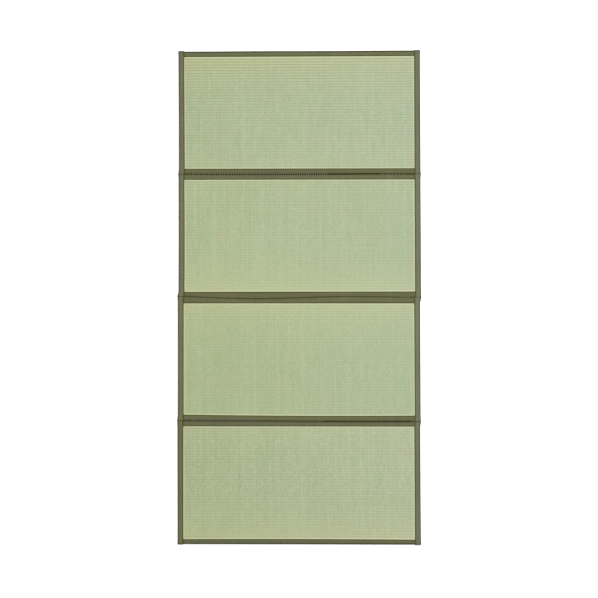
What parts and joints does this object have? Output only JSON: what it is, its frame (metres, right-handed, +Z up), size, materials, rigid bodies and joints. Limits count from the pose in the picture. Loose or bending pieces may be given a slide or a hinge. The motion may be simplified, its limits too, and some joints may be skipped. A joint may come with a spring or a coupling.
{
  "type": "folding tatami mat",
  "caption": "Folding tatami mat: woven rush panels bound in olive cloth on every edge and joined edge to edge, laid out flat.",
  "frame": {"origin": "middle of the mat, at the height of the surface it lies on", "axes": "+X to the right across the mat, +Y along the mat towards its far end, +Z up"},
  "size_m": [1.0048, 2.0448, 0.025],
  "materials": {
    "rush_weave": "matt, faintly glossy on each stem",
    "binding_cloth": "matt plain weave"
  },
  "bodies": {
    "root": {"rush_panel_1": "rush_weave", "rush_panel_2": "rush_weave", "rush_panel_3": "rush_weave", "rush_panel_4": "rush_weave", "far_binding_1": "binding_cloth", "near_binding_1": "binding_cloth", "left_binding_1": "binding_cloth", "right_binding_1": "binding_cloth", "far_binding_2": "binding_cloth", "near_binding_2": "binding_cloth", "left_binding_2": "binding_cloth", "right_binding_2": "binding_cloth", "far_binding_3": "binding_cloth", "near_binding_3": "binding_cloth", "left_binding_3": "binding_cloth", "right_binding_3": "binding_cloth", "far_binding_4": "binding_cloth", "near_binding_4": "binding_cloth", "left_binding_4": "binding_cloth", "right_binding_4": "binding_cloth"}
  },
  "joints": []
}
